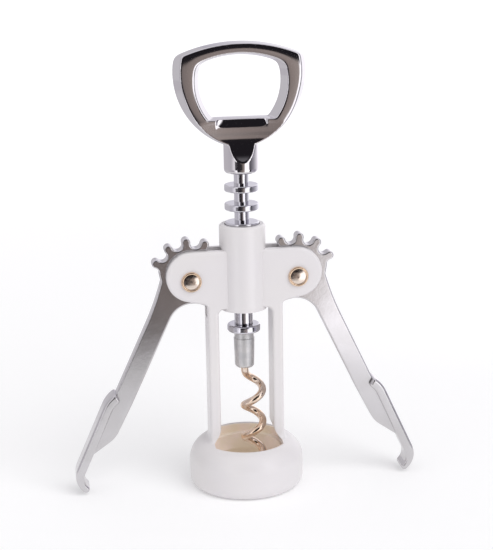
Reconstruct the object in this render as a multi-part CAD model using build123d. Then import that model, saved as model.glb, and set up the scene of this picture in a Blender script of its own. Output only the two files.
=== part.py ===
from build123d import *
from math import acos, atan2, cos, degrees, hypot, radians, sin, sqrt
import os

os.makedirs("parts", exist_ok=True)

# A double-lever corkscrew, standing on its cup. Millimetres, +Z up, +X to the right lever.
# The spindle axis is x = y = 0 and the cup's foot is z = 0.

# Running clearances between pieces that move on each other
SPINDLE_CLEARANCE = 0.1
BORE_CLEARANCE = 0.27
SLOT_CLEARANCE = 0.2
PIVOT_CLEARANCE = 0.1
END_CLEARANCE = 0.1
# Fit between pieces that are pressed together
SEAT_CLEARANCE = 0.02
# How far a cutter runs past the face it cuts through, and how near counts as the same place
CUT_OVERRUN = 1.0
TOLERANCE = 0.001

# Annular rack, a sleeve with rings that both gear sectors climb
RACK_PITCH = 6.73
RACK_RINGS = 7
RACK_RADIUS = 6.13
RING_THICKNESS = 2.4
RING_ROUND = 0.5
NECK_RADIUS = 2.65
SHANK_RADIUS = 3.4
TOP_RING_DROP = 5.33

# Gear sector of each lever
PITCH_RADIUS = 13.43
PITCH_LINE = 5.84
TOOTH_CREST_RADIUS = 1.55
TOOTH_ADDENDUM = 1.77
TOOTH_DEDENDUM = 1.93
TEETH_ABOVE_MESH = 5
TEETH_BELOW_MESH = 2

# Frame: tube, ears, columns
TUBE_RADIUS = 8.31
TUBE_RISE = 19.26
TUBE_DROP = 11.9
TUBE_CHAMFER = 0.6
PIVOT_HEIGHT = 79.1
EAR_OVERHANG = 8.85
EAR_END_RADIUS = 9.1
EAR_LIFT = 1.4
EAR_WALL = 2.8
EAR_ROUND = 1.0
EAR_DROP = 9.1
ARCH_DROP = 11.1
ARCH_ROUND = 2.0
COLUMN_INNER = 9.7
COLUMN_WIDTH = 3.95
NOOK_ROUND = 1.5
TIP_CLEARANCE = 0.5

# Cup that sits on the bottle
CUP_RADIUS = 20.95
CUP_HEIGHT = 17.8
CUP_SHOULDER = 8.0
FOOT_ROUND = 3.4
THROAT_RADIUS = 12.5
MOUTH_RADIUS = 15.5
LIP_ROUND = 0.4
LIP_THICKNESS = 1.9
FLARE_HEIGHT = 8.0
FLARE_SAG = 1.1
FOOT_BLEND = 2.0

# Neck liner inside the cup
BOTTLE_RADIUS = 15.2
BOTTLE_DEPTH = 8.0
LINER_WALL = 1.3
LEDGE_DROP = 3.8
LINING_DROP = 1.0
LINING_WALL = 0.5
LINER_RECESS = 0.4
LINER_LEAD_IN = 0.6
LINER_CLEARANCE = 0.05

# Pivot rivets
RIVET_RADIUS = 1.9
RIVET_HEAD_RADIUS = 3.65
RIVET_HEAD_HEIGHT = 0.85
RIVET_RIM_WIDTH = 0.85
RIVET_DOME = 0.35

# Levers. Along is measured down the lever from its pivot, out is away from the spindle.
LEVER_LEAN = 30.0
LEVER_THICKNESS = 4.7
LEVER_ROUND = 0.6
LEVER_CORNER = 1.2
NOTCH_ALONG = 5.6
NOTCH_OUT = 9.0
ARM_START = 22.0
ARM_START_OUT = 6.25
ARM_THROAT = 16.0
ARM_START_IN = 0.5
LEDGE_ALONG = 50.0
ARM_END_OUT = 3.85
ARM_END_IN = 3.25
WEB_CORNER_ALONG = 65.0
WEB_CORNER_IN = 4.0
WEB_CORNER_ROUND = 10.0
WEB_END_ALONG = 77.5
FLANGE_THICKNESS = 3.5
FLANGE_TIP = 2.5
FLANGE_WIDTH = 8.5
FLANGE_ROUND = 1.1
FLANGE_START_ALONG = 56.5
FLANGE_START_OUT = 5.7
FLANGE_END_ALONG = 81.2
FLANGE_END_OUT = 3.3
CURL_RADIUS = 12.0
CURL_TURN = 35.0
HOOK_RADIUS = 7.7
HOOK_TURN = 86.0
FLANGE_CORNER = 1.2

# Handle: hub and bottle opener ring
HUB_RADIUS = 6.1
HUB_BOTTOM = 116.8
HUB_ROUND = 0.9
RING_HALF_WIDTH = 23.24
RING_RISE = 46.2
RING_TOP_ARC = 54.8
RING_SIDE_ARC = 27.26
RING_SIDE_DROP = 10.66
RING_CORNER = 2.8
HUB_TOP_DROP = 32.5
HALF_DEPTH = 5.0
OUTER_BEVEL = 2.2
INNER_BEVEL = 1.8
EDGE_LAND = 0.3
RIDGE_ROUND = 1.6
OPENING_HALF_WIDTH = 14.46
OPENING_DROP = 4.8
OPENING_TOP_ARC = 34.1
OPENING_SIDE_ARC = 19.76
OPENING_SIDE_DROP = 13.64
OPENING_BOTTOM_DROP = 26.3
OPENING_CORNER = 2.6
LIP_HALF_WIDTH = 8.2
LIP_DROP = 3.7
LIP_SETBACK = 3.2
SCOOP_DROP = 28.4
SCOOP_CREASE_DROP = 6.0
SCOOP_CREASE_DEPTH = 3.6
SCOOP_UPPER_SAG = 0.25
SCOOP_LOWER_SAG = 0.45
SCOOP_RISE = 0.8

# Spindle, collar, worm socket and worm
SPINDLE_RADIUS = 1.6
SPINDLE_SEAT = 10.0
COLLAR_RADIUS = 6.05
COLLAR_TOP = 61.3
COLLAR_THICKNESS = 2.8
COLLAR_ROUND = 0.8
SOCKET_RADIUS = 3.8
SOCKET_TOP_RADIUS = 3.55
SOCKET_LOW_RADIUS = 3.5
SOCKET_SHOULDER = 2.6
SOCKET_BOTTOM = 44.8
SOCKET_ROUND = 1.2
WIRE_RADIUS = 1.4
WORM_SEAT = 6.0
SEAT_PARTING = 1.0
WORM_SHANK_DROP = 0.6
WORM_PITCH = 12.4
WORM_RADIUS = 3.4
WORM_OFFSET = 3.0
WORM_HELIX_TOP = 39.0
WORM_ENTRY = 87.0
WORM_TURNS = 2.3
WORM_POINT = 3.2
WORM_POINT_RADIUS = 0.3

# Places that follow from the sizes above
BORE_RADIUS = RACK_RADIUS + BORE_CLEARANCE
PIVOT_X = PITCH_LINE + PITCH_RADIUS
TOOTH_STEP = degrees(RACK_PITCH / PITCH_RADIUS)
TOOTH_TIP_RADIUS = PITCH_RADIUS + TOOTH_ADDENDUM
TOOTH_ROOT_RADIUS = PITCH_RADIUS - TOOTH_DEDENDUM
SLOT_HALF = LEVER_THICKNESS / 2 + SLOT_CLEARANCE
EAR_HALF_DEPTH = SLOT_HALF + EAR_WALL
TUBE_TOP = PIVOT_HEIGHT + TUBE_RISE
TUBE_BOTTOM = PIVOT_HEIGHT - TUBE_DROP
EAR_UNDERSIDE = PIVOT_HEIGHT - EAR_DROP
ARCH_HEIGHT = PIVOT_HEIGHT - ARCH_DROP
COLUMN_SIDE = COLUMN_INNER + COLUMN_WIDTH
SHOULDER_X = CUP_RADIUS - CUP_SHOULDER
LINER_TOP = CUP_HEIGHT - LIP_THICKNESS
LINER_RADIUS = BOTTLE_RADIUS + LINER_WALL
TOP_RING = HUB_BOTTOM - TOP_RING_DROP
RING_HEIGHT = HUB_BOTTOM + RING_RISE
RING_SIDE_CENTRE = RING_HEIGHT - RING_SIDE_DROP
OPENING_TOP = RING_HEIGHT - OPENING_DROP
OPENING_SIDE_CENTRE = RING_HEIGHT - OPENING_SIDE_DROP
OPENING_BOTTOM = RING_HEIGHT - OPENING_BOTTOM_DROP
COLLAR_BOTTOM = COLLAR_TOP - COLLAR_THICKNESS
SPINDLE_BOTTOM = SOCKET_BOTTOM + WORM_SEAT + SEAT_PARTING


def polar(radius, angle):
    """A point at an angle in degrees, from the origin."""
    return radius * cos(radians(angle)), radius * sin(radians(angle))


def disc_on(radius, bottom, top):
    """A cylinder on the spindle axis between two heights."""
    upright = (Align.CENTER, Align.CENTER, Align.MIN)
    return Pos(0, 0, bottom) * Cylinder(radius, top - bottom, align=upright)


def turned(outline):
    """A solid of revolution about the spindle axis, from a closed outline in radius and height."""
    return revolve(Plane.XZ * make_face(outline), axis=Axis.Z)


def front_outline(outline, half_depth):
    """A slab with its outline in the front plane, centred on the spindle axis in depth."""
    return extrude(Plane.XZ * make_face(outline), amount=half_depth, both=True)


def both_sides(solid):
    """A solid and its mirror image across the centre plane x = 0."""
    return solid, mirror(solid, about=Plane.YZ)


def tangent_point(point, centre, radius):
    """Where a line from a point below touches the underside of a circle."""
    reach = hypot(centre[0] - point[0], centre[1] - point[1])
    towards = atan2(point[1] - centre[1], point[0] - centre[0])
    angle = towards + acos(radius / reach)
    return centre[0] + radius * cos(angle), centre[1] + radius * sin(angle)


# Annular rack


def rack_ring_height(number):
    """Middle height of a ring, counted down from the top one."""
    return TOP_RING - number * RACK_PITCH


def rack_ring(number):
    """One ring of the rack, with rounded edges."""
    middle = rack_ring_height(number)
    ring = disc_on(RACK_RADIUS, middle - RING_THICKNESS / 2, middle + RING_THICKNESS / 2)
    return fillet(ring.edges().filter_by(GeomType.CIRCLE), RING_ROUND)


def rack_sleeve():
    """The sleeve that slides in the tube: a thin neck, seven rings and a thicker plain end."""
    top = HUB_BOTTOM - END_CLEARANCE
    bottom = COLLAR_TOP + END_CLEARANCE
    last_ring = rack_ring_height(RACK_RINGS - 1)
    sleeve = disc_on(NECK_RADIUS, last_ring, top) + disc_on(SHANK_RADIUS, bottom, last_ring)
    for number in range(RACK_RINGS):
        sleeve += rack_ring(number)
    return sleeve - disc_on(SPINDLE_RADIUS + SPINDLE_CLEARANCE, bottom - CUT_OVERRUN, top + CUT_OVERRUN)


# Frame moulding


def ear_slab():
    """Both ears and both columns as one slab, before the lever slots are cut."""
    end_x = PIVOT_X + EAR_OVERHANG - EAR_END_RADIUS
    end_z = PIVOT_HEIGHT + EAR_LIFT
    top = end_z + EAR_END_RADIUS
    bottom = CUP_HEIGHT - LIP_THICKNESS / 2
    nook = (COLUMN_SIDE, EAR_UNDERSIDE)
    touch = tangent_point(nook, (end_x, end_z), EAR_END_RADIUS)
    outline = Polyline((0, top), (end_x, top)) + ThreePointArc(
        (end_x, top), (end_x + EAR_END_RADIUS, end_z), touch
    )
    haunch = ARCH_HEIGHT - ARCH_ROUND
    crown = COLUMN_INNER - ARCH_ROUND
    outline += Polyline(touch, nook, (COLUMN_SIDE, bottom), (COLUMN_INNER, bottom), (COLUMN_INNER, haunch))
    outline += CenterArc((crown, haunch), ARCH_ROUND, 0, 90)
    outline += Polyline((crown, ARCH_HEIGHT), (0, ARCH_HEIGHT), (0, top))
    face = make_face(outline)
    face = fillet(face.vertices().sort_by_distance(Vector(*nook))[0], NOOK_ROUND)
    slab = extrude(Plane.XZ * face, amount=EAR_HALF_DEPTH, both=True)
    rims = slab.faces().filter_by(Axis.Y).edges()
    rims = [edge for edge in rims if edge.center().X > TOLERANCE and edge.center().Z > bottom + TOLERANCE]
    right, left = both_sides(fillet(rims, EAR_ROUND))
    return right + left


def cup_shell():
    """The outside of the cup with the seat for the liner, still closed on top."""
    side_top = CUP_HEIGHT - CUP_SHOULDER
    foot_x = CUP_RADIUS - FOOT_ROUND
    seat = LINER_RADIUS + LINER_CLEARANCE
    outline = Line((seat, 0), (foot_x, 0))
    outline += CenterArc((foot_x, FOOT_ROUND), FOOT_ROUND, -90, 90)
    outline += Line((CUP_RADIUS, FOOT_ROUND), (CUP_RADIUS, side_top))
    outline += CenterArc((SHOULDER_X, side_top), CUP_SHOULDER, 0, 90)
    outline += Polyline((SHOULDER_X, CUP_HEIGHT), (0, CUP_HEIGHT), (0, LINER_TOP), (seat, LINER_TOP))
    outline += Line((seat, LINER_TOP), (seat, 0))
    return turned(outline)


def foot_seams(body):
    """The edges where the columns stand on the cup."""
    seams = []
    for edge in body.edges():
        place = edge.center()
        beside = abs(place.X) > COLUMN_INNER - TOLERANCE and abs(place.Y) < EAR_HALF_DEPTH + TOLERANCE
        if beside and CUP_HEIGHT - LIP_THICKNESS / 2 < place.Z < CUP_HEIGHT + TOLERANCE:
            seams.append(edge)
    return seams


def cup_mouth():
    """The open top of the cup: round to the front and back, flat beside the columns' feet."""
    top = CUP_HEIGHT + FLARE_HEIGHT
    edge = MOUTH_RADIUS + LIP_ROUND
    rim = CUP_HEIGHT - CUP_SHOULDER + sqrt(CUP_SHOULDER**2 - (edge - SHOULDER_X) ** 2)
    outline = Polyline((0, 0), (MOUTH_RADIUS, 0), (MOUTH_RADIUS, rim - LIP_ROUND))
    outline += CenterArc((edge, rim - LIP_ROUND), LIP_ROUND, 180, -90)
    outline += Polyline((edge, rim), (edge, top), (0, top), (0, 0))
    side = Polyline((0, 0), (THROAT_RADIUS, 0), (THROAT_RADIUS, CUP_HEIGHT))
    side += SagittaArc((THROAT_RADIUS, CUP_HEIGHT), (COLUMN_INNER, top), FLARE_SAG)
    side += Polyline((COLUMN_INNER, top), (0, top), (0, 0))
    right, left = both_sides(front_outline(side, edge))
    return turned(outline) & (right + left)


def lever_slot():
    """The slot for one lever's gear, through ear, column head and tube wall."""
    radius = TOOTH_TIP_RADIUS + TIP_CLEARANCE
    slot = Rot(90, 0, 0) * Cylinder(radius, 2 * SLOT_HALF)
    return Pos(PIVOT_X, 0, PIVOT_HEIGHT) * slot


def rivet_hole(clearance):
    """The hole for one pivot rivet, with a clearance all round it."""
    hole = Rot(90, 0, 0) * Cylinder(RIVET_RADIUS + clearance, 2 * (EAR_HALF_DEPTH + CUT_OVERRUN))
    return Pos(PIVOT_X, 0, PIVOT_HEIGHT) * hole


def frame():
    """The white moulding: tube, two ears, two columns and the cup in one piece."""
    body = ear_slab() + cup_shell()
    body = fillet(foot_seams(body), FOOT_BLEND)
    tube = disc_on(TUBE_RADIUS, TUBE_BOTTOM, TUBE_TOP)
    body += chamfer(tube.edges().group_by(Axis.Z)[-1], TUBE_CHAMFER)
    body -= cup_mouth()
    for tool in both_sides(lever_slot()) + both_sides(rivet_hole(SEAT_CLEARANCE)):
        body -= tool
    bore_start = min(TUBE_BOTTOM, ARCH_HEIGHT) - CUT_OVERRUN
    return body - disc_on(BORE_RADIUS, bore_start, TUBE_TOP + CUT_OVERRUN)


def neck_liner():
    """The cream liner in the cup: a deep bore for the bottle's mouth under a narrower throat."""
    top = LINER_TOP - LINER_CLEARANCE
    mouth = LINER_RECESS + LINER_LEAD_IN
    ledge = CUP_HEIGHT - LEDGE_DROP
    face = MOUTH_RADIUS - LINER_CLEARANCE
    outline = Polyline(
        (BOTTLE_RADIUS, mouth),
        (BOTTLE_RADIUS + LINER_LEAD_IN, LINER_RECESS),
        (LINER_RADIUS, LINER_RECESS),
        (LINER_RADIUS, top),
        (face - LINING_WALL, top),
        (face - LINING_WALL, ledge),
        (THROAT_RADIUS, ledge),
        (THROAT_RADIUS, BOTTLE_DEPTH),
        (BOTTLE_RADIUS, BOTTLE_DEPTH),
        (BOTTLE_RADIUS, mouth),
    )
    lining = disc_on(face, ledge, CUP_HEIGHT - LINING_DROP) - disc_on(face - LINING_WALL, 0, CUP_HEIGHT)
    width = 2 * (THROAT_RADIUS - LINER_CLEARANCE)
    lining &= Pos(0, 0, CUP_HEIGHT / 2) * Box(width, 2 * MOUTH_RADIUS, CUP_HEIGHT)
    return turned(outline) + lining


# Pivot rivets


def rivet():
    """A rivet with a rolled rim round a domed middle at both ends."""
    face = EAR_HALF_DEPTH
    crown = face + RIVET_HEAD_HEIGHT
    rim = RIVET_RIM_WIDTH / 2
    dish = RIVET_HEAD_RADIUS - RIVET_RIM_WIDTH
    low = crown - rim
    dome_height = RIVET_DOME + low
    dome_radius = (dish**2 + RIVET_DOME**2) / (2 * RIVET_DOME)
    half_way = dome_height - dome_radius + sqrt(dome_radius**2 - dish**2 / 4)
    outline = Polyline(
        (RIVET_HEAD_RADIUS, -face), (RIVET_RADIUS, -face), (RIVET_RADIUS, face), (RIVET_HEAD_RADIUS, face)
    )
    for side in (1, -1):
        outline += Line((RIVET_HEAD_RADIUS, side * face), (RIVET_HEAD_RADIUS, side * low))
        outline += ThreePointArc(
            (RIVET_HEAD_RADIUS, side * low), (RIVET_HEAD_RADIUS - rim, side * crown), (dish, side * low)
        )
        outline += ThreePointArc((dish, side * low), (dish / 2, side * half_way), (0, side * dome_height))
    outline += Line((0, dome_height), (0, -dome_height))
    return Pos(PIVOT_X, 0, PIVOT_HEIGHT) * Rot(90, 0, 0) * turned(outline)


# Levers


def lever_plane():
    """The middle plane of the right lever: x runs down the lever, y away from the spindle."""
    lean = radians(LEVER_LEAN)
    return Plane(origin=(PIVOT_X, 0, PIVOT_HEIGHT), x_dir=(sin(lean), 0, -cos(lean)), z_dir=(0, -1, 0))


def rounded_slab(face, half_thickness, radius):
    """A slab on the lever's middle plane with both rims rounded."""
    half = extrude(face, amount=half_thickness)
    front = fillet(half.faces().sort_by(Axis.Z)[-1].edges(), radius)
    return lever_plane() * (front + mirror(front, about=Plane.XY))


def mesh_angle():
    """Angle, in the lever, of the tooth that lies in the first groove above the pivot."""
    rings_above = int((TOP_RING - PIVOT_HEIGHT) / RACK_PITCH)
    groove = rack_ring_height(rings_above) - RACK_PITCH / 2
    return 270 - LEVER_LEAN - degrees((groove - PIVOT_HEIGHT) / PITCH_RADIUS)


def gear_edge():
    """The toothed edge: round crests and round roots that meet without a corner."""
    half = TOOTH_STEP / 2
    crest = TOOTH_TIP_RADIUS - TOOTH_CREST_RADIUS
    across = crest * cos(radians(half))
    root_radius = (
        (crest**2 + TOOTH_ROOT_RADIUS**2 - 2 * TOOTH_ROOT_RADIUS * across - TOOTH_CREST_RADIUS**2)
        / (2 * (TOOTH_CREST_RADIUS - TOOTH_ROOT_RADIUS + across))
    )
    first = mesh_angle() - TEETH_ABOVE_MESH * TOOTH_STEP
    count = TEETH_ABOVE_MESH + TEETH_BELOW_MESH + 1

    def joint(tooth, side):
        top = polar(crest, tooth)
        valley = polar(TOOTH_ROOT_RADIUS + root_radius, tooth + side * half)
        share = TOOTH_CREST_RADIUS / (TOOTH_CREST_RADIUS + root_radius)
        return top[0] + (valley[0] - top[0]) * share, top[1] + (valley[1] - top[1]) * share

    def valley_bottom(angle):
        return polar(TOOTH_ROOT_RADIUS, angle)

    def quarter_point(tooth, side):
        """A point on the root arc halfway between its bottom and the crest's joint."""
        centre = polar(TOOTH_ROOT_RADIUS + root_radius, tooth + side * half)
        start = joint(tooth, side)
        bottom = valley_bottom(tooth + side * half)
        mid = ((start[0] + bottom[0]) / 2 - centre[0], (start[1] + bottom[1]) / 2 - centre[1])
        scale = root_radius / hypot(*mid)
        return centre[0] + mid[0] * scale, centre[1] + mid[1] * scale

    edge = ThreePointArc(valley_bottom(first - half), quarter_point(first, -1), joint(first, -1))
    for number in range(count):
        tooth = first + number * TOOTH_STEP
        edge += ThreePointArc(joint(tooth, -1), polar(TOOTH_TIP_RADIUS, tooth), joint(tooth, 1))
        if number < count - 1:
            edge += ThreePointArc(joint(tooth, 1), valley_bottom(tooth + half), joint(tooth + TOOTH_STEP, -1))
    last = first + (count - 1) * TOOTH_STEP
    edge += ThreePointArc(joint(last, 1), quarter_point(last, 1), valley_bottom(last + half))
    return edge, valley_bottom(first - half), valley_bottom(last + half)


def lever_plate():
    """The lever's head, its arm and the web beside the thumb flange, one plate with rounded long edges."""
    edge, outer_end, inner_end = gear_edge()
    arm_in = (ARM_THROAT, -ARM_START_IN)
    arm_out = (ARM_START, ARM_START_OUT)
    outer_slope = (ARM_START_OUT - ARM_END_OUT) / (LEDGE_ALONG - ARM_START)
    inner_slope = (ARM_END_IN - ARM_START_IN) / (LEDGE_ALONG - ARM_THROAT)
    outline = edge
    outline += Line(outer_end, (NOTCH_ALONG, NOTCH_OUT))
    outline += TangentArc(arm_out, (NOTCH_ALONG, NOTCH_OUT), tangent=(-1, outer_slope))
    web_corner = (WEB_CORNER_ALONG, -WEB_CORNER_IN)
    outline += Polyline(arm_out, (LEDGE_ALONG, ARM_END_OUT), *flange_middle(), web_corner)
    outline += Polyline(web_corner, (LEDGE_ALONG, -ARM_END_IN), arm_in)
    outline += TangentArc(arm_in, inner_end, tangent=(-1, inner_slope))
    plate = make_face(outline)
    sharp = (outer_end, inner_end, (NOTCH_ALONG, NOTCH_OUT))
    corners = [plate.vertices().sort_by_distance(Vector(*point))[0] for point in sharp]
    plate = fillet(corners, LEVER_CORNER)
    corner = plate.vertices().sort_by_distance(Vector(*web_corner))[0]
    return rounded_slab(fillet(corner, WEB_CORNER_ROUND), LEVER_THICKNESS / 2, LEVER_ROUND)


def flange_direction():
    """Unit vector along the straight of the thumb flange, and the one that points inwards from it."""
    along = FLANGE_END_ALONG - FLANGE_START_ALONG
    out = FLANGE_END_OUT - FLANGE_START_OUT
    length = hypot(along, out)
    return (along / length, out / length), (out / length, -along / length)


def flange_middle():
    """Where the web starts and ends, both on the middle line of the flange's straight."""
    direction, inward = flange_direction()
    half = FLANGE_THICKNESS / 2
    start = (FLANGE_START_ALONG + inward[0] * half, FLANGE_START_OUT + inward[1] * half)
    run = (WEB_END_ALONG - start[0]) / direction[0]
    return start, (WEB_END_ALONG, start[1] + direction[1] * run)


def bend_points(at, radius, depths, turn):
    """Start, middle and end of an arc that leaves a point on the flange, inset by a depth at each end."""
    inward = flange_direction()[1]
    centre = (at[0] + inward[0] * radius, at[1] + inward[1] * radius)
    points = []
    for share in (0, 0.5, 1):
        reach = radius - depths[0] - (depths[1] - depths[0]) * share
        angle = atan2(-inward[1], -inward[0]) - radians(turn * share)
        points.append((centre[0] + reach * cos(angle), centre[1] + reach * sin(angle)))
    return points


def flange_strip():
    """The thumb flange: a curl out of the arm, a straight and a hook that thins towards its tip."""
    start = (FLANGE_START_ALONG, FLANGE_START_OUT)
    end = (FLANGE_END_ALONG, FLANGE_END_OUT)
    outer_curl = bend_points(start, CURL_RADIUS, (0, 0), -CURL_TURN)
    inner_curl = bend_points(start, CURL_RADIUS, (FLANGE_THICKNESS, FLANGE_THICKNESS), -CURL_TURN)
    outer_hook = bend_points(end, HOOK_RADIUS, (0, 0), HOOK_TURN)
    inner_hook = bend_points(end, HOOK_RADIUS, (FLANGE_THICKNESS, FLANGE_TIP), HOOK_TURN)
    outline = ThreePointArc(*outer_curl) + Line(outer_curl[0], outer_hook[0]) + ThreePointArc(*outer_hook)
    outline += Line(outer_hook[2], inner_hook[2])
    outline += ThreePointArc(*inner_hook) + Line(inner_hook[0], inner_curl[0]) + ThreePointArc(*inner_curl)
    outline += Line(inner_curl[2], outer_curl[2])
    face = make_face(outline)
    tips = (outer_hook[2], inner_hook[2], outer_curl[2], inner_curl[2])
    corners = [face.vertices().sort_by_distance(Vector(*point))[0] for point in tips]
    return rounded_slab(fillet(corners, FLANGE_CORNER), FLANGE_WIDTH / 2, FLANGE_ROUND)


def right_lever():
    """The right lever in its rest lean."""
    return lever_plate() + flange_strip() - rivet_hole(PIVOT_CLEARANCE)


# Handle


def side_arc_point(arc, centre_height, half_width, height):
    """Half width of a side arc at a height."""
    return half_width - arc + sqrt(arc**2 - (height - centre_height) ** 2)


def arcs_meeting(top, top_arc, half_width, side_arc, side_height):
    """Where the top arc and the right side arc of a ring outline cross."""
    centre_top = (0, top - top_arc)
    centre_side = (half_width - side_arc, side_height)
    gap_x = centre_side[0] - centre_top[0]
    gap_z = centre_side[1] - centre_top[1]
    reach = hypot(gap_x, gap_z)
    along = (reach**2 + top_arc**2 - side_arc**2) / (2 * reach)
    off = sqrt(top_arc**2 - along**2)
    mid = (centre_top[0] + gap_x * along / reach, centre_top[1] + gap_z * along / reach)
    return mid[0] + gap_z * off / reach, mid[1] - gap_x * off / reach


def ring_face():
    """The outline of the ring at its middle, closed across the hub."""
    meet = arcs_meeting(RING_HEIGHT, RING_TOP_ARC, RING_HALF_WIDTH, RING_SIDE_ARC, RING_SIDE_CENTRE)
    centre_x = RING_HALF_WIDTH - RING_SIDE_ARC
    foot_z = RING_SIDE_CENTRE - sqrt(RING_SIDE_ARC**2 - (HUB_RADIUS - centre_x) ** 2)
    middle_z = (meet[1] + foot_z) / 2
    middle_x = side_arc_point(RING_SIDE_ARC, RING_SIDE_CENTRE, RING_HALF_WIDTH, middle_z)
    outline = ThreePointArc((-meet[0], meet[1]), (0, RING_HEIGHT), meet)
    outline += ThreePointArc(meet, (middle_x, middle_z), (HUB_RADIUS, foot_z))
    outline += Line((HUB_RADIUS, foot_z), (-HUB_RADIUS, foot_z))
    outline += ThreePointArc((-HUB_RADIUS, foot_z), (-middle_x, middle_z), (-meet[0], meet[1]))
    face = make_face(outline)
    corners = face.vertices().group_by(Axis.Y)[-1]
    return fillet(corners, RING_CORNER)


def opening_face():
    """The outline of the opening at the middle of the ring."""
    sides = (OPENING_HALF_WIDTH, OPENING_SIDE_ARC, OPENING_SIDE_CENTRE)
    meet = arcs_meeting(OPENING_TOP, OPENING_TOP_ARC, *sides)
    bottom_x = side_arc_point(OPENING_SIDE_ARC, OPENING_SIDE_CENTRE, OPENING_HALF_WIDTH, OPENING_BOTTOM)
    middle_z = (meet[1] + OPENING_BOTTOM) / 2
    middle_x = side_arc_point(OPENING_SIDE_ARC, OPENING_SIDE_CENTRE, OPENING_HALF_WIDTH, middle_z)
    outline = ThreePointArc((-meet[0], meet[1]), (0, OPENING_TOP), meet)
    outline += ThreePointArc(meet, (middle_x, middle_z), (bottom_x, OPENING_BOTTOM))
    outline += Line((bottom_x, OPENING_BOTTOM), (-bottom_x, OPENING_BOTTOM))
    outline += ThreePointArc((-bottom_x, OPENING_BOTTOM), (-middle_x, middle_z), (-meet[0], meet[1]))
    face = make_face(outline)
    corners = face.vertices().group_by(Axis.Y)[-1]
    return fillet(corners, OPENING_CORNER)


def flat_side(slab):
    """The front side of a slab."""
    return slab.faces().filter_by(Axis.Y).sort_by(Axis.Y)[0]


def ring_blank():
    """The front half of the ring before its opening: rim bevelled, ridges above the hub rounded."""
    blank = extrude(Plane.XZ * ring_face(), amount=HALF_DEPTH)
    rims = flat_side(blank).outer_wire().edges()
    blank = chamfer(rims, OUTER_BEVEL, HALF_DEPTH - EDGE_LAND, reference=flat_side(blank))
    ridge = flat_side(blank).outer_wire().edges()
    return fillet([edge for edge in ridge if edge.center().Z > RING_HEIGHT - HUB_TOP_DROP], RIDGE_ROUND)


def opening_plate():
    """The front half of a wide plate with the opening in it: rim bevelled, ridge rounded."""
    wide = Pos(0, OPENING_SIDE_CENTRE) * Rectangle(4 * RING_HALF_WIDTH, 4 * RING_HALF_WIDTH)
    plate = extrude(Plane.XZ * (wide - opening_face()), amount=HALF_DEPTH)
    rims = flat_side(plate).inner_wires()[0].edges()
    plate = chamfer(rims, INNER_BEVEL, HALF_DEPTH - EDGE_LAND, reference=flat_side(plate))
    return fillet(flat_side(plate).inner_wires()[0].edges(), RIDGE_ROUND)


def ring_slab():
    """The ring with its opening: a flat band between two bevels with round ridges, alike on both sides."""
    front = ring_blank() & opening_plate()
    return front + mirror(front, about=Plane.XZ)


def scoop():
    """The hollow that runs down the front of the hub."""
    top = (-HALF_DEPTH, RING_HEIGHT - SCOOP_DROP)
    crease = (-SCOOP_CREASE_DEPTH, top[1] - SCOOP_CREASE_DROP)
    bottom = (-HUB_RADIUS, HUB_BOTTOM + SCOOP_RISE)
    outline = SagittaArc(top, crease, -SCOOP_UPPER_SAG) + SagittaArc(crease, bottom, -SCOOP_LOWER_SAG)
    clear = -2 * HUB_RADIUS
    outline += Polyline(bottom, (clear, bottom[1]), (clear, top[1]), top)
    return extrude(Plane.YZ * make_face(outline), amount=2 * HUB_RADIUS, both=True)


def cap_lip_recess():
    """The step in front of the lip that lifts a bottle cap."""
    height = LIP_DROP + CUT_OVERRUN
    middle = OPENING_BOTTOM + CUT_OVERRUN - height / 2
    return Pos(0, LIP_SETBACK / 2 - HALF_DEPTH, middle) * Box(2 * LIP_HALF_WIDTH, LIP_SETBACK, height)


def handle():
    """The handle: a hub on the spindle and a ring that is also a bottle opener."""
    hub = disc_on(HUB_RADIUS, HUB_BOTTOM, RING_HEIGHT - HUB_TOP_DROP)
    hub = fillet(hub.edges().group_by(Axis.Z)[0], HUB_ROUND)
    body = ring_slab() + hub
    front = scoop()
    body = body - front - mirror(front, about=Plane.XZ) - cap_lip_recess()
    seat_top = HUB_BOTTOM + SPINDLE_SEAT + SEAT_CLEARANCE
    return body - disc_on(SPINDLE_RADIUS + SEAT_CLEARANCE, HUB_BOTTOM - CUT_OVERRUN, seat_top)


# Spindle and worm


def spindle():
    """The steel rod inside the sleeve that joins the handle to the worm's socket."""
    return disc_on(SPINDLE_RADIUS, SPINDLE_BOTTOM, HUB_BOTTOM + SPINDLE_SEAT)


def collar():
    """The collar under the sleeve, which lifts it."""
    ring = disc_on(COLLAR_RADIUS, COLLAR_BOTTOM, COLLAR_TOP)
    ring = fillet(ring.edges().filter_by(GeomType.CIRCLE), COLLAR_ROUND)
    seat = SPINDLE_RADIUS + SEAT_CLEARANCE
    return ring - disc_on(seat, COLLAR_BOTTOM - CUT_OVERRUN, COLLAR_TOP + CUT_OVERRUN)


def worm_socket():
    """The grey socket that holds the worm's shank from below and the spindle from above."""
    shoulder = COLLAR_BOTTOM - SOCKET_SHOULDER
    outline = Polyline(
        (0, SOCKET_BOTTOM),
        (SOCKET_LOW_RADIUS, SOCKET_BOTTOM),
        (SOCKET_RADIUS, shoulder),
        (SOCKET_TOP_RADIUS, shoulder),
        (SOCKET_TOP_RADIUS, COLLAR_BOTTOM),
        (0, COLLAR_BOTTOM),
        (0, SOCKET_BOTTOM),
    )
    body = turned(outline)
    body = fillet(body.edges().group_by(Axis.Z)[0], SOCKET_ROUND)
    body -= disc_on(WIRE_RADIUS + SEAT_CLEARANCE, SOCKET_BOTTOM - CUT_OVERRUN, SOCKET_BOTTOM + WORM_SEAT)
    seat_bottom = SPINDLE_BOTTOM - SEAT_CLEARANCE
    return body - disc_on(SPINDLE_RADIUS + SEAT_CLEARANCE, seat_bottom, COLLAR_BOTTOM + CUT_OVERRUN)


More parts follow.
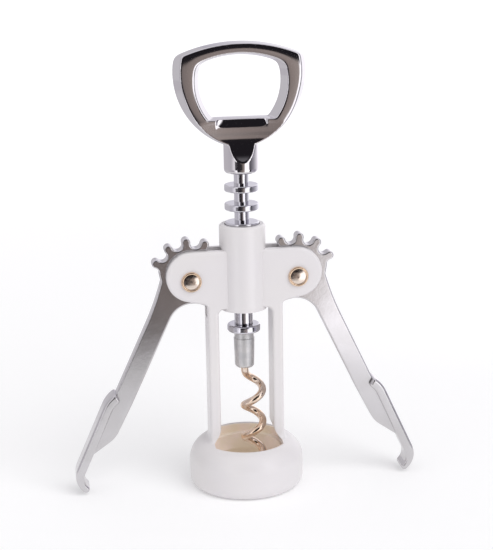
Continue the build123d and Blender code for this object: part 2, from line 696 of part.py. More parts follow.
def worm():
    """The worm: a straight shank on the spindle axis that bends into a right-handed helix beside it."""
    helix_height = WORM_PITCH * WORM_TURNS
    low_angle = WORM_ENTRY - 360 * WORM_TURNS
    helix = Helix(WORM_PITCH, helix_height, WORM_RADIUS)
    helix = Pos(WORM_OFFSET, 0, WORM_HELIX_TOP - helix_height) * Rot(0, 0, low_angle) * helix
    shank_top = Vector(0, 0, SOCKET_BOTTOM + WORM_SEAT - SEAT_CLEARANCE)
    shank_end = Vector(0, 0, SOCKET_BOTTOM - WORM_SHANK_DROP)
    entry = Spline(helix @ 1, shank_end, tangents=(helix % 1, Vector(0, 0, 1)))
    path = Wire([helix, entry, Line(shank_end, shank_top)])
    section = Plane(origin=path @ 0, z_dir=path % 0) * Circle(WIRE_RADIUS)
    tube = sweep(section, path=path)
    start = Plane(origin=path @ 0, z_dir=(path % 0) * -1)
    point = Solid.make_cone(WIRE_RADIUS, WORM_POINT_RADIUS, WORM_POINT, start)
    return tube + point


def write(name, solid):
    """Write one named piece."""
    export_step(solid, "parts/" + name + ".step")


write("frame", frame())
write("neck_liner", neck_liner())
write("rack_sleeve", rack_sleeve())
write("handle", handle())
write("spindle", spindle())
write("collar", collar())
write("worm_socket", worm_socket())
write("worm", worm())
right_side, left_side = both_sides(right_lever())
write("right_lever", right_side)
write("left_lever", left_side)
right_rivet, left_rivet = both_sides(rivet())
write("right_rivet", right_rivet)
write("left_rivet", left_rivet)
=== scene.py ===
from math import cos, pi, radians, sin

import bpy
from mathutils import Matrix, Vector


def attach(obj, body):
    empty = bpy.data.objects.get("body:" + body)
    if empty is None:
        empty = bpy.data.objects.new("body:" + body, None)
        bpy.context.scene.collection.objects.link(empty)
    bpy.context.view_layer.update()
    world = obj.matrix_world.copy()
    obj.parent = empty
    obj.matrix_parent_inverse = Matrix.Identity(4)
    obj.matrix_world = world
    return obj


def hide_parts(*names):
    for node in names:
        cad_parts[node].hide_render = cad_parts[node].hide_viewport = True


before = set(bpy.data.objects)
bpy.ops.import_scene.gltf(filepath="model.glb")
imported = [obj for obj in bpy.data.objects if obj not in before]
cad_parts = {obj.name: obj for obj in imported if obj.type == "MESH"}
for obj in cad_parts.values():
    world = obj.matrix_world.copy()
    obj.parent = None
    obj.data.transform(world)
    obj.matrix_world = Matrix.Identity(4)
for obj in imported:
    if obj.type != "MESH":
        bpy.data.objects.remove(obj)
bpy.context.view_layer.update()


# The camera stands where the photographer stood: half a metre from the tool, a little to its left and
# looking down on it by 14 degrees, leaning by one degree. The lens and the small shift frame it as there.
CAMERA_TARGET = Vector((0, 0, 0.080))
CAMERA_DISTANCE = 0.5
CAMERA_NEAREST = 0.01
CAMERA_AZIMUTH = radians(-8.11)
CAMERA_ELEVATION = radians(14.38)
CAMERA_LEAN = radians(1.05)
CAMERA_LENS = 90.8
CAMERA_SHIFT = (0.0065, -0.0035)

towards_camera = Vector((
    sin(CAMERA_AZIMUTH) * cos(CAMERA_ELEVATION),
    -cos(CAMERA_AZIMUTH) * cos(CAMERA_ELEVATION),
    sin(CAMERA_ELEVATION),
))
level = Vector((cos(CAMERA_AZIMUTH), sin(CAMERA_AZIMUTH), 0))
upright = towards_camera.cross(level)
across = level * cos(CAMERA_LEAN) - upright * sin(CAMERA_LEAN)
above = level * sin(CAMERA_LEAN) + upright * cos(CAMERA_LEAN)
camera = bpy.data.objects.new("camera", bpy.data.cameras.new("camera"))
bpy.context.scene.collection.objects.link(camera)
camera.data.lens = CAMERA_LENS
camera.data.shift_x, camera.data.shift_y = CAMERA_SHIFT
camera.data.clip_start = CAMERA_NEAREST
turn = Matrix((across, above, towards_camera)).transposed().to_4x4()
camera.matrix_world = Matrix.Translation(CAMERA_TARGET + towards_camera * CAMERA_DISTANCE) @ turn
bpy.context.scene.camera = camera


# The white moulding: tube, ears, columns and cup in one piece of glossy plastic. It is injection moulded,
# so its skin is closed and smooth with a very fine grain and long soft waves where thick walls shrank.
WHITE_WARM = (0.735, 0.71, 0.71)
WHITE_COOL = (0.725, 0.70, 0.715)
# Here and below: how many spots of a pattern lie in a metre, the part of its values over which one colour
# gives way to the other, and how high its relief is, in metres
MOULD_CLOUDS = 28.0
MOULD_CLOUD_RANGE = (0.35, 0.65)
MOULD_GRAIN = 2600.0
MOULD_GRAIN_HEIGHT = 0.000012
MOULD_WAVES = 85.0
MOULD_WAVE_HEIGHT = 0.00012


class Wire:
    """A socket in a tree of nodes. Sums, products and the like of wires add Math nodes."""

    def __init__(self, tree, socket=None):
        self.tree = tree
        self.socket = socket

    def node(self, kind, values, out=0, stops=(), **settings):
        """Adds a node: its settings first, then the values or wires of its sockets."""
        made = self.tree.nodes.new(kind if kind.startswith("Geometry") else "ShaderNode" + kind)
        for name, setting in settings.items():
            setattr(made, name, setting)
        if stops:
            ramp = made.color_ramp.elements
            for element, (place, colour) in ((ramp[0], stops[0]), (ramp[1], stops[-1])):
                element.position = place
                element.color = (*colour, 1)
            for place, colour in stops[1:-1]:
                ramp.new(place).color = (*colour, 1)
        for name, value in values.items():
            for part in (value if isinstance(value, list) else [value]):
                if isinstance(part, Wire):
                    self.tree.links.new(part.socket, made.inputs[name])
                else:
                    made.inputs[name].default_value = part
        return Wire(self.tree, made.outputs[out] if len(made.outputs) else None)

    def axes(self):
        """This vector's x, y and z."""
        outputs = self.node("SeparateXYZ", {"Vector": self}).socket.node.outputs
        return [Wire(self.tree, output) for output in outputs]

    def maths(self, operation, *values):
        """Adds a Math node to the values or wires that it works on."""
        return self.node("Math", dict(enumerate(values)), operation=operation)

    def __add__(self, other):
        return self.maths("ADD", self, other)

    def __sub__(self, other):
        return self.maths("SUBTRACT", self, other)

    def __rsub__(self, other):
        return self.maths("SUBTRACT", other, self)

    def __mul__(self, other):
        return self.maths("MULTIPLY", self, other)

    def __truediv__(self, other):
        return self.maths("DIVIDE", self, other)

    def __pow__(self, other):
        return self.maths("POWER", self, other)

    def __abs__(self):
        return self.maths("ABSOLUTE", self)

    __radd__ = __add__
    __rmul__ = __mul__

    def most(self, other, soft=0):
        """The larger of two distances, rounded where they meet."""
        return self.maths("SMOOTH_MAX", self, other, soft)

    def least(self, other, soft=0):
        """The smaller of two distances, rounded where they meet."""
        return self.maths("SMOOTH_MIN", self, other, soft)

    def step(self, low, high):
        """0 below low, 1 above high, and a smooth rise between them."""
        values = {"Value": self, "From Min": low, "From Max": high}
        return self.node("MapRange", values, interpolation_type="SMOOTHSTEP")

    def blend(self, first, second):
        """One colour where this mask is 0 and the other where it is 1."""
        # Inputs 6 and 7 and output 2 of the node are those for colours
        values = {"Factor": self}
        for name, colour in ((6, first), (7, second)):
            values[name] = colour if isinstance(colour, Wire) else (*colour, 1)
        return self.node("Mix", values, out=2, data_type="RGBA")

    def noise(self, scale, detail=2.0, roughness=0.5):
        """Noise that follows this vector, about 0.5 on average."""
        return self.node("TexNoise", {"Vector": self, "Scale": scale, "Detail": detail, "Roughness": roughness})

    def lengthwise(self, share):
        """This vector with only a share of its z, for grain that runs up and down."""
        return self.node("VectorMath", {0: self, 1: (1, 1, share)}, operation="MULTIPLY")

    def bump(self, height, distance, under=None):
        """A surface normal raised by a height, over another one."""
        values = {"Height": height, "Distance": distance}
        if under is not None:
            values["Normal"] = under
        return self.node("Bump", values)


def new_finish(name):
    """An empty material, and its place in the object's own coordinates."""
    material = bpy.data.materials.new(name)
    material.use_nodes = True
    material.node_tree.nodes.clear()
    return material, Wire(material.node_tree).node("TexCoord", {}, out="Object")


def close_finish(place, **sockets):
    """Ends a finish with the surface itself."""
    surface = place.node("BsdfPrincipled", {name.replace("_", " ").title(): sockets[name] for name in sockets})
    place.node("OutputMaterial", {"Surface": surface})


def put_on(material, *nodes):
    """Gives CAD nodes their finish."""
    for node in nodes:
        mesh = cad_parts[node].data
        mesh.materials.clear()
        mesh.materials.append(material)


white, place = new_finish("white moulding")
clouds = place.noise(MOULD_CLOUDS).step(*MOULD_CLOUD_RANGE)
grain = place.noise(MOULD_GRAIN, detail=3.0)
waves = place.noise(MOULD_WAVES, detail=1.0)
close_finish(
    place,
    base_color=clouds.blend(WHITE_WARM, WHITE_COOL),
    roughness=0.30 + 0.08 * grain,
    normal=place.bump(grain, MOULD_GRAIN_HEIGHT, place.bump(waves, MOULD_WAVE_HEIGHT)),
    coat_weight=0.25,
    coat_roughness=0.12,
)
put_on(white, "frame")


# The cream liner is a softer plastic ring pressed into the cup from below. Handling and corks have stained
# it unevenly, between a pinkish cream and a yellowish one.
CREAM_PINK = (0.97, 0.84, 0.755)
CREAM_YELLOW = (0.92, 0.81, 0.66)
STAINS = 95.0
STAIN_RANGE = (0.38, 0.62)
LINER_GRAIN = 1400.0
LINER_GRAIN_HEIGHT = 0.00003

cream, place = new_finish("cream liner")
stains = place.noise(STAINS, detail=4.0, roughness=0.6).step(*STAIN_RANGE)
grain = place.noise(LINER_GRAIN, detail=3.0)
close_finish(
    place,
    base_color=stains.blend(CREAM_PINK, CREAM_YELLOW),
    roughness=0.5 + 0.15 * grain,
    normal=place.bump(grain, LINER_GRAIN_HEIGHT),
)
put_on(cream, "neck_liner")


# The rivets are nickel plated steel with a warm champagne tone. Their heads are rolled over into a domed middle
# with fine marks of the tool. The ring round that middle is painted more golden: a painted reflection of warm
# surroundings.
PIVOT = 0.01927
PIVOT_HEIGHT = 0.0791
RIVET_MIDDLE = (0.78, 0.68, 0.60)
# The more golden colour of the rim is a painted reflection, not the plating's own tone
RIVET_REFLECTED_GOLD = (0.83, 0.63, 0.46)
RIVET_REFLECTION_RIM = (0.00255, 0.00295)
TOOL_MARKS = 900.0
TOOL_MARK_HEIGHT = 0.00004


def from_axis(first, second):
    """How far a point is from an axis, by its two distances square to it."""
    return (first * first + second * second) ** 0.5


rolled, place = new_finish("rolled nickel")
x, _, z = place.axes()
# Painted reflection: a ring round each pivot is coloured more golden than the domed middle
painted_rim_reflection = from_axis(abs(x) - PIVOT, z - PIVOT_HEIGHT).step(*RIVET_REFLECTION_RIM)
marks = place.noise(TOOL_MARKS, detail=4.0)
close_finish(
    place,
    base_color=painted_rim_reflection.blend(RIVET_MIDDLE, RIVET_REFLECTED_GOLD),
    metallic=1.0,
    roughness=0.10 + 0.14 * marks,
    normal=place.bump(marks, TOOL_MARK_HEIGHT),
)
put_on(rolled, "right_rivet", "left_rivet")


# The rack is turned from one bar: seven rings on a thin neck, chrome plated. The turning tool has left fine
# rings on every face, which the plating softens. The collar under it is turned and plated in the same way.
TURNED_DARK = (0.63, 0.62, 0.67)
TURNED_LIGHT = (0.67, 0.66, 0.69)
LATHE_RINGS = 2600.0
LATHE_RING_HEIGHT = 0.000008
PLATING_WAVES = 140.0
PLATING_RANGE = (0.3, 0.7)
PLATING_WAVE_HEIGHT = 0.00008

turned, place = new_finish("turned chrome")
x, y, z = place.axes()
rings = place.node("CombineXYZ", {"X": from_axis(x, y), "Z": z}).noise(LATHE_RINGS)
plating = place.noise(PLATING_WAVES)
close_finish(
    place,
    base_color=plating.step(*PLATING_RANGE).blend(TURNED_DARK, TURNED_LIGHT),
    metallic=1.0,
    roughness=0.07 + 0.08 * rings,
    normal=place.bump(rings, LATHE_RING_HEIGHT, place.bump(plating, PLATING_WAVE_HEIGHT)),
)
put_on(turned, "rack_sleeve", "collar")


# The handle is one casting: a hub, and a ring with a crowned band between two bevels, which also lifts crown
# caps. It is ground, polished and chrome plated, so every ridge is soft. Its long faces are a little wavy,
# and handling has left hairline marks.
POLISHED = (0.64, 0.62, 0.64, 1)
POLISH_WAVES = 70.0
POLISH_WAVE_HEIGHT = 0.00010
HAIRLINES = 1500.0
HAIRLINE_RUN = 0.12
HAIRLINE_HEIGHT = 0.000006
# In millimetres, and scaled to metres once it is cast
HANDLE = {
    "Ring Top": 163.0,
    "Ring Top Arc": 54.8,
    "Ring Half Width": 23.4,
    "Ring Side Arc": 27.26,
    "Ring Side Height": 152.34,
    "Ring Corner": 3.0,
    "Opening Top": 158.2,
    "Opening Top Arc": 34.1,
    "Opening Half Width": 14.46,
    "Opening Side Arc": 19.76,
    "Opening Side Height": 149.36,
    "Opening Corner": 2.6,
    "Half Depth": 5.0,
    "Edge Half": 0.3,
    "Crown": 0.22,
    "Ridge": 0.7,
    "Side Ridge": 1.2,
    "Top Bevel": 0.5,
    "Side Bevel Low": 0.9,
    "Side Bevel High": 2.2,
    "Side Bevel Low Height": 128.0,
    "Side Bevel High Height": 147.0,
    "Inner Top Bevel": 1.0,
    "Inner Side Bevel": 1.9,
    "Lip Bevel": 0.5,
    "Hub Radius": 6.1,
    "Hub Bottom": 116.8,
    "Hub Top": 131.0,
    "Hub Round": 2.4,
    "Scoop Depth": 3.7,
    "Scoop Arc": 18.0,
    "Scoop Height": 130.3,
    "Scoop Spread": 0.0032,
    "Scoop Ridge": 0.35,
    "Lip Height": 136.7,
    "Lip Half Width": 8.8,
    "Lip Lean": 0.27,
    "Lip Squareness": 6.0,
    "Lip Depth": 4.0,
    "Lip Foot": 133.2,
    "Lip End": 138.5,
    "Grain": 0.28,
    "Low Corner": Vector((-24.5, -7.1, 115.9)),
    "High Corner": Vector((24.5, 7.1, 164.0)),
    "To Metres": Vector((0.001, 0.001, 0.001)),
}


def new_growth(name, sizes):
    """An empty tree of geometry nodes, and its named input for each size as a wire."""
    tree = bpy.data.node_groups.new(name, "GeometryNodeTree")
    kinds = {int: "NodeSocketInt", float: "NodeSocketFloat", Vector: "NodeSocketVector"}
    for size, value in sizes.items():
        tree.interface.new_socket(size, in_out="INPUT", socket_type=kinds[type(value)])
    tree.interface.new_socket("Mesh", in_out="OUTPUT", socket_type="NodeSocketGeometry")
    entrance = tree.nodes.new("NodeGroupInput")
    return Wire(tree), {size: Wire(tree, entrance.outputs[size]) for size in sizes}


def grown(name, sizes, mesh, material):
    """Ends a tree in its material, and makes its result a plain mesh."""
    mesh = mesh.node("GeometryNodeSetShadeSmooth", {"Geometry": mesh})
    mesh = mesh.node("GeometryNodeRealizeInstances", {"Geometry": mesh})
    mesh = mesh.node("GeometryNodeSetMaterial", {"Geometry": mesh, "Material": material})
    way_out = mesh.tree.nodes.new("NodeGroupOutput")
    mesh.tree.links.new(mesh.socket, way_out.inputs["Mesh"])
    piece = bpy.data.objects.new(name, bpy.data.meshes.new(name))
    bpy.context.scene.collection.objects.link(piece)
    growth = piece.modifiers.new(name, "NODES")
    growth.node_group = mesh.tree
    for socket in mesh.tree.interface.items_tree:
        if socket.in_out == "INPUT":
            growth[socket.identifier] = sizes[socket.name]
    result = bpy.data.meshes.new_from_object(piece.evaluated_get(bpy.context.evaluated_depsgraph_get()))
    piece.modifiers.clear()
    piece.data = result
    return piece


def outline(part, x, z, size):
    """How far a point is outside the top arc of the ring or its opening, its side arcs, and both together."""
    top_arc = size[part + " Top Arc"]
    side_arc = size[part + " Side Arc"]
    top = from_axis(x, z - size[part + " Top"] + top_arc) - top_arc
    side = from_axis(x - size[part + " Half Width"] + side_arc, z - size[part + " Side Height"]) - side_arc
    return top, side, top.most(side, size[part + " Corner"])


def bevelled(distance, width, y, size):
    """How far a point is outside a bevel of a width, from an outline at distance 0 up to the flat side."""
    drop = size["Half Depth"] - size["Edge Half"]
    return ((distance + width) * drop + (y - size["Half Depth"]) * width) / from_axis(drop, width)


polished, place = new_finish("polished chrome")
waves = place.noise(POLISH_WAVES, detail=1.5)
hairlines = place.lengthwise(HAIRLINE_RUN).noise(HAIRLINES, detail=3.0)
close_finish(
    place,
    base_color=POLISHED,
    metallic=1.0,
    roughness=0.05 + 0.05 * hairlines,
    normal=place.bump(waves, POLISH_WAVE_HEIGHT, place.bump(hairlines, HAIRLINE_HEIGHT)),
)

casting, size = new_growth("cast handle", HANDLE)
edge = size["Edge Half"]
ridge = size["Ridge"]
across, back, z = casting.node("GeometryNodeInputPosition", {}).axes()
x = abs(across)
y = abs(back)
ring_top, ring_side, ring = outline("Ring", x, z, size)
opening_top, opening_side, opening = outline("Opening", x, z, size)
opening = opening.most(size["Lip Height"] - z, ridge)

# The band: the bevels from the outside and from the opening, and the crowned face between them
rise = z.step(size["Side Bevel Low Height"], size["Side Bevel High Height"])
side_bevel = size["Side Bevel Low"] + (size["Side Bevel High"] - size["Side Bevel Low"]) * rise
outer = bevelled(ring_top, size["Top Bevel"], y, size)
outer = outer.most(bevelled(ring_side, side_bevel, y, size), size["Side Ridge"])
inner = bevelled(0 - opening_top, size["Inner Top Bevel"], y, size)
inner = inner.least(bevelled(0 - opening_side, size["Inner Side Bevel"], y, size), size["Opening Corner"])
inner = inner.least(bevelled(z - size["Lip Height"], size["Lip Bevel"], y, size), ridge)
band_place = (ring + opening) / (opening - ring)
crown = size["Half Depth"] - size["Crown"] * band_place * band_place
body = outer.most(inner, ridge).most(y - crown, ridge)
body = body.most(ring, edge).most(0 - opening, edge)

# The hub, and the scoop that runs down from the band and ends in a tongue on the hub
hub = from_axis(x, y) - size["Hub Radius"]
hub = hub.most(size["Hub Bottom"] - z, size["Hub Round"]).most(z - size["Hub Top"], ridge)
body = body.least(hub, edge)
arc = size["Scoop Arc"]
rise = z - size["Scoop Height"]
scoop = size["Scoop Depth"] + arc - (arc * arc - rise * rise) ** 0.5
spread = size["Scoop Spread"] * x * x
body = body.most(y - scoop - spread, size["Scoop Ridge"])

# The lip that catches a cap leans back at the front, below the opening
share = x / size["Lip Half Width"]
lean = size["Lip Lean"] * (1 - (share ** size["Lip Squareness"]).least(1))
lip = 0 - back - size["Lip Depth"] - spread + lean * (z - size["Lip Foot"])
lip = lip.least(z - size["Lip Foot"] + ridge, ridge).least(size["Lip End"] - z)
body = body.most(lip.least(size["Lip Half Width"] - x), edge)

span = casting.node("VectorMath", {0: size["High Corner"], 1: size["Low Corner"]}, operation="SUBTRACT")
grid = {"Density": 1 - body, "Background": 0.0, "Min": size["Low Corner"], "Max": size["High Corner"]}
for axis, length in zip("XYZ", span.axes()):
    grid["Resolution " + axis] = length / size["Grain"]
cast = casting.node("GeometryNodeVolumeCube", grid)
cast = casting.node("GeometryNodeVolumeToMesh", {"Volume": cast, "Threshold": 1.0, "Adaptivity": 0.0})
cast = casting.node("GeometryNodeTransform", {"Geometry": cast, "Scale": size["To Metres"]})
cast_handle = grown("cast_handle", HANDLE, cast, polished)
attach(cast_handle, "worm_spindle")
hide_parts("handle")


# The spindle is a plain drawn steel rod, which runs hidden through the sleeve and joins the handle to the
# socket. Drawing has left long lines on it.
DRAWN_STEEL = (0.55, 0.55, 0.57, 1)
DRAWN_LINES = 3000.0
DRAWN_LINE_RUN = 0.02

drawn, place = new_finish("drawn steel")
lines = place.lengthwise(DRAWN_LINE_RUN).noise(DRAWN_LINES)
close_finish(place, base_color=DRAWN_STEEL, metallic=1.0, roughness=0.22 + 0.15 * lines)
put_on(drawn, "spindle")


# The socket that grips the worm is turned and left satin. Upright lines from tumbling and fine dents give
# it a matt grey look between the bright collar and the worm.
SATIN_DARK = (0.60, 0.60, 0.61)
SATIN_LIGHT = (0.70, 0.69, 0.69)
DENTS = 420.0
DENT_RANGE = (0.3, 0.7)
DENT_HEIGHT = 0.00005
TUMBLED_LINES = 1500.0
TUMBLED_LINE_RUN = 0.06
TUMBLED_LINE_HEIGHT = 0.00003

satin, place = new_finish("satin socket")
lines = place.lengthwise(TUMBLED_LINE_RUN).noise(TUMBLED_LINES, detail=3.0)
dents = place.noise(DENTS, detail=3.0)
close_finish(
    place,
    base_color=dents.step(*DENT_RANGE).blend(SATIN_DARK, SATIN_LIGHT),
    metallic=1.0,
    roughness=0.34 + 0.20 * lines,
    normal=place.bump(lines, TUMBLED_LINE_HEIGHT, place.bump(dents, DENT_HEIGHT)),
)
put_on(satin, "worm_socket")


# The worm is bent from round wire: a right-handed helix beside the spindle's line, a bend up to the socket
# and a straight shank in it, with its free end ground to a point. It is nickel plated with a warm champagne
# tone, and drawing the wire has left long streaks that follow it.
CHAMPAGNE = (0.78, 0.66, 0.57)
CHAMPAGNE_GOLD = (0.80, 0.61, 0.46)
TONES = 260.0
TONE_RANGE = (0.35, 0.65)
STREAKS = 2600.0
STREAK_RUN = 0.08
STREAK_HEIGHT = 0.00003
WIRE_RADIUS = 0.0014
WIRE_SIDES = 24
RUN_STEPS = 72
WELD = 0.00001
WORM_PITCH = 0.0124
WORM_RADIUS = 0.0034
WORM_OFFSET = 0.003
WORM_TOP = 0.039
WORM_TURNS = 2.3
WORM_ENTRY = radians(87)
WORM_POINT = 0.0032
WORM_POINT_SHARE = 0.22
SHANK_END = Vector((0, 0, 0.0442))
SHANK_TOP = Vector((0, 0, 0.0507))

helix_lead = Vector((-WORM_RADIUS * sin(WORM_ENTRY), WORM_RADIUS * cos(WORM_ENTRY), WORM_PITCH / (2 * pi)))
point_turns = WORM_POINT / (2 * pi * helix_lead.length)
helix_turns = WORM_TURNS + point_turns
entry_start = Vector((WORM_OFFSET + WORM_RADIUS * cos(WORM_ENTRY), WORM_RADIUS * sin(WORM_ENTRY), WORM_TOP))
reach = (SHANK_END - entry_start).length / 3
worm_sizes = {
    "Helix Turns": helix_turns,
    "Helix Radius": WORM_RADIUS,
    "Helix Height": WORM_PITCH * helix_turns,
    "Helix Foot": Vector((WORM_OFFSET, 0, WORM_TOP - WORM_PITCH * helix_turns)),
    "Helix Turned": Vector((0, 0, WORM_ENTRY - 2 * pi * helix_turns)),
    "Entry Start": entry_start,
    "Entry Start Handle": entry_start + helix_lead.normalized() * reach,
    "Entry End Handle": SHANK_END - Vector((0, 0, reach)),
    "Shank End": SHANK_END,
    "Shank Top": SHANK_TOP,
    "Wire Radius": WIRE_RADIUS,
    "Wire Sides": WIRE_SIDES,
    "Run Steps": RUN_STEPS,
    "Weld": WELD,
    "Point Height": WORM_PITCH * point_turns,
    "Point Share": WORM_POINT_SHARE,
}

champagne, place = new_finish("champagne nickel")
along = place.node("Attribute", {}, out="Fac", attribute_name="along")
section = place.node("Attribute", {}, out="Vector", attribute_name="section")
section_x, section_y, _ = section.axes()
skin = place.node("CombineXYZ", {"X": section_x, "Y": section_y, "Z": STREAK_RUN * along})
streaks = skin.noise(STREAKS, detail=3.0)
tones = place.noise(TONES).step(*TONE_RANGE)
close_finish(
    place,
    base_color=tones.blend(CHAMPAGNE, CHAMPAGNE_GOLD),
    metallic=1.0,
    roughness=0.08 + 0.12 * streaks,
    normal=place.bump(streaks, STREAK_HEIGHT),
)

bending, size = new_growth("worm wire", worm_sizes)
helix = bending.node("GeometryNodeCurveSpiral", {
    "Resolution": size["Run Steps"],
    "Rotations": size["Helix Turns"],
    "Start Radius": size["Helix Radius"],
    "End Radius": size["Helix Radius"],
    "Height": size["Helix Height"],
    "Reverse": True,
})
helix = bending.node("GeometryNodeTransform", {
    "Geometry": helix,
    "Translation": size["Helix Foot"],
    "Rotation": size["Helix Turned"],
})
entry = bending.node("GeometryNodeCurvePrimitiveBezierSegment", {
    "Resolution": size["Run Steps"],
    "Start": size["Entry Start"],
    "Start Handle": size["Entry Start Handle"],
    "End Handle": size["Entry End Handle"],
    "End": size["Shank End"],
})
shank = bending.node("GeometryNodeCurvePrimitiveLine", {"Start": size["Shank End"], "End": size["Shank Top"]})
path = bending.node("GeometryNodeJoinGeometry", {"Geometry": [helix, entry, shank]})
path = bending.node("GeometryNodeCurveToMesh", {"Curve": path})
path = bending.node("GeometryNodeMergeByDistance", {"Geometry": path, "Distance": size["Weld"]})
path = bending.node("GeometryNodeMeshToCurve", {"Mesh": path})
length = bending.node("GeometryNodeSplineParameter", {}, out="Length")
path = bending.node("GeometryNodeStoreNamedAttribute", {"Geometry": path, "Name": "along", "Value": length})
spot = bending.node("GeometryNodeInputPosition", {})
round_wire = bending.node("GeometryNodeCurvePrimitiveCircle", {
    "Resolution": size["Wire Sides"],
    "Radius": size["Wire Radius"],
})
round_wire = bending.node(
    "GeometryNodeStoreNamedAttribute",
    {"Geometry": round_wire, "Name": "section", "Value": spot},
    data_type="FLOAT_VECTOR",
)
point_end = size["Helix Foot"].axes()[2]
taper = bending.node("MapRange", {
    "Value": spot.axes()[2],
    "From Min": point_end,
    "From Max": point_end + size["Point Height"],
    "To Min": size["Point Share"],
})
wire = bending.node("GeometryNodeCurveToMesh", {
    "Curve": path,
    "Profile Curve": round_wire,
    "Scale": taper,
    "Fill Caps": True,
})
worm_wire = grown("worm_wire", worm_sizes, wire, champagne)
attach(worm_wire, "worm_spindle")
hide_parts("worm")


# Both levers are castings with less polish than the handle: chrome over a faintly orange-peeled face, with
# softer reflections towards the thumb flange.
LEVER_DARK = (0.60, 0.585, 0.595)
LEVER_LIGHT = (0.64, 0.625, 0.64)
PEEL = 120.0
PEEL_RANGE = (0.3, 0.7)
PEEL_HEIGHT = 0.00005
LEVER_GRAIN = 1100.0
LEVER_GRAIN_HEIGHT = 0.000008
FLANGE_HEIGHT = (0.030, 0.070)

plated, place = new_finish("plated levers")
z = place.axes()[2]
peel = place.noise(PEEL, detail=1.0)
grain = place.noise(LEVER_GRAIN, detail=3.0)
low = 1 - z.step(*FLANGE_HEIGHT)
close_finish(
    place,
    base_color=peel.step(*PEEL_RANGE).blend(LEVER_DARK, LEVER_LIGHT),
    metallic=1.0,
    roughness=0.13 + 0.05 * grain + 0.08 * low,
    normal=place.bump(peel, PEEL_HEIGHT, place.bump(grain, LEVER_GRAIN_HEIGHT)),
)
put_on(plated, "left_lever", "right_lever")


# The studio: a pale table, soft light from above and in front, and a room that only the bright metal
# reflects. Its front is dark and turns brown-grey to the right, a white screen and a black card stand on
# its right, and the rest is lavender grey with a few lighter places.
TABLE = (0.90, 0.90, 0.905, 1)
TABLE_GLOW_NEAR = (0.42, 0.42, 0.42)
TABLE_GLOW_FAR = (1.0, 1.0, 1.0)
TABLE_GLOW_RANGE = (0.2, 1.6)
TABLE_ROWS = ((0.0001, 0), (0.5, 0), (4.0, 0))
BACKDROP_ROWS = ((4.0, 0), (4.0, 3), (0.001, 3))
# Radius and height. The room has no floor near the tool, so that the metal reflects the table there
ROOM_ROWS = ((0.12, 0.0005), (1.2, 0.0005), (1.2, 1.3), (0.001, 1.3))
ROOM_START = (0.13, 0.20)
STAGE_SIDES = 96
ROOM_GLOW = 1.8
FRONT_ENDS = (radians(24), radians(34))
FRONT_DARK = (0.010, 0.009, 0.011)
FRONT_DARK_HEIGHT = (0.055, 0.100)
OVERHEAD = (0.50, 0.49, 0.52)
OVERHEAD_HEIGHT = (0.9, 1.25)
OVERHEAD_OPEN = 0.85
OVERHEAD_OPEN_RANGE = (0.6, 1.1)
MIDDLE_START = (0.40, 0.50)
MIDDLE_END = (0.75, 0.88)
# Angle in degrees from the front, positive to the right, and the room's colour there: half a metre to
# 0.8 m away, and everywhere else
MIDDLE_COLOURS = (
    (-180, (0.36, 0.35, 0.37)),
    (-110, (0.38, 0.37, 0.39)),
    (-75, (0.36, 0.35, 0.375)),
    (-58, (0.58, 0.57, 0.59)),
    (-50, (0.62, 0.61, 0.63)),
    (-45, (0.02, 0.018, 0.022)),
    (-5, (0.02, 0.018, 0.020)),
    (4, (0.14, 0.120, 0.112)),
    (15, (0.24, 0.21, 0.195)),
    (18, (0.90, 0.89, 0.92)),
    (45, (0.90, 0.89, 0.92)),
    (49, (0.05, 0.05, 0.055)),
    (58, (0.09, 0.09, 0.10)),
    (80, (0.20, 0.195, 0.215)),
    (136, (0.70, 0.69, 0.72)),
    (156, (0.70, 0.69, 0.72)),
    (180, (0.36, 0.35, 0.37)),
)
ROOM_COLOURS = (
    (-180, (0.36, 0.35, 0.37)),
    (-120, (0.42, 0.415, 0.43)),
    (-60, (0.30, 0.29, 0.31)),
    (-40, (0.85, 0.84, 0.86)),
    (-34, (0.85, 0.84, 0.86)),
    (-31, (0.012, 0.011, 0.013)),
    (-16, (0.02, 0.018, 0.02)),
    (-5, (0.11, 0.097, 0.094)),
    (8, (0.195, 0.163, 0.150)),
    (16, (0.27, 0.235, 0.215)),
    (18, (0.95, 0.94, 0.96)),
    (52, (0.95, 0.94, 0.96)),
    (54, (0.008, 0.008, 0.010)),
    (65, (0.012, 0.012, 0.015)),
    (69, (0.24, 0.23, 0.27)),
    (110, (0.28, 0.27, 0.31)),
    (136, (0.75, 0.74, 0.77)),
    (156, (0.75, 0.74, 0.77)),
    (180, (0.30, 0.29, 0.33)),
)
SOFT_LIGHT = (0.99, 0.98, 1.0, 1)
SOFT_LIGHT_STRENGTH = 0.62
# Name, strength, softness in degrees, azimuth and elevation
LAMPS = (
    ("key", 1.25, 50, 38, 42),
    ("fill", 0.35, 80, -50, 25),
)


def stage_mesh(name, rows, material, **seen_by):
    """A surface of revolution on the stage, seen only by the rays that are named."""
    points = []
    for radius, height in rows:
        for number in range(STAGE_SIDES):
            angle = 2 * pi * number / STAGE_SIDES
            points.append((radius * cos(angle), radius * sin(angle), height))
    faces = []
    for row in range(len(rows) - 1):
        for number in range(STAGE_SIDES):
            near = row * STAGE_SIDES + number
            far = row * STAGE_SIDES + (number + 1) % STAGE_SIDES
            faces.append((near, far, far + STAGE_SIDES, near + STAGE_SIDES))
    mesh = bpy.data.meshes.new(name)
    mesh.from_pydata(points, [], faces)
    mesh.materials.append(material)
    made = bpy.data.objects.new(name, mesh)
    bpy.context.scene.collection.objects.link(made)
    for kind in ("camera", "diffuse", "glossy", "transmission", "shadow"):
        setattr(made, "visible_" + kind, seen_by.get(kind, False))


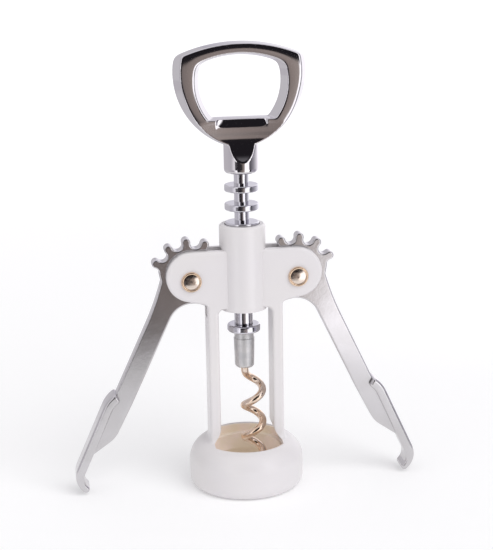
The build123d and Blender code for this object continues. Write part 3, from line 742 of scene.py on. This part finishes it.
pale, place = new_finish("pale table")
x, y, _ = place.axes()
close_finish(
    place,
    base_color=TABLE,
    roughness=0.85,
    emission_color=from_axis(x, y).step(*TABLE_GLOW_RANGE).blend(TABLE_GLOW_NEAR, TABLE_GLOW_FAR),
    emission_strength=0.38,
)
stage_mesh("table", TABLE_ROWS, pale, camera=True, diffuse=True, glossy=True, shadow=True)

around, place = new_finish("room around")
x, y, z = place.axes()
away = from_axis(x, y)
angle = place.maths("ARCTAN2", x, 0 - y)
turned_by = angle / (2 * pi) + 0.5
zones = []
for colours in (ROOM_COLOURS, MIDDLE_COLOURS):
    stops = [(0.5 + degrees / 360, colour) for degrees, colour in colours]
    zones.append(place.node("ValToRGB", {"Fac": turned_by}, stops=stops))
middle = away.step(*MIDDLE_START) * (1 - away.step(*MIDDLE_END))
in_front = 1 - abs(angle).step(*FRONT_ENDS)
dark = in_front * z.step(*FRONT_DARK_HEIGHT)
overhead = z.step(*OVERHEAD_HEIGHT) * (1 - OVERHEAD_OPEN * in_front * away.step(*OVERHEAD_OPEN_RANGE))
colour = overhead.blend(dark.blend(middle.blend(*zones), FRONT_DARK), OVERHEAD)
light = place.node("Emission", {"Color": colour, "Strength": ROOM_GLOW})
clear = place.node("BsdfTransparent", {})
seen = away.step(*ROOM_START)
place.node("OutputMaterial", {"Surface": place.node("MixShader", {0: seen, 1: clear, 2: light})})
around.cycles.emission_sampling = "NONE"
stage_mesh("room", ROOM_ROWS, around, glossy=True)

sky, place = new_finish("white backdrop")
light = place.node("Emission", {"Color": (1, 1, 1, 1), "Strength": 1.0})
place.node("OutputMaterial", {"Surface": light})
sky.cycles.emission_sampling = "NONE"
stage_mesh("backdrop", BACKDROP_ROWS, sky, camera=True)

world = bpy.data.worlds.new("soft light")
world.use_nodes = True
world.node_tree.nodes["Background"].inputs["Color"].default_value = SOFT_LIGHT
world.node_tree.nodes["Background"].inputs["Strength"].default_value = SOFT_LIGHT_STRENGTH
bpy.context.scene.world = world
bpy.context.scene.view_settings.view_transform = "Standard"

for name, strength, softness, azimuth, elevation in LAMPS:
    lamp = bpy.data.lights.new(name, "SUN")
    lamp.energy = strength
    lamp.angle = radians(softness)
    made = bpy.data.objects.new(name, lamp)
    bpy.context.scene.collection.objects.link(made)
    made.rotation_euler = (radians(90 - elevation), 0, radians(azimuth))
    made.visible_glossy = False
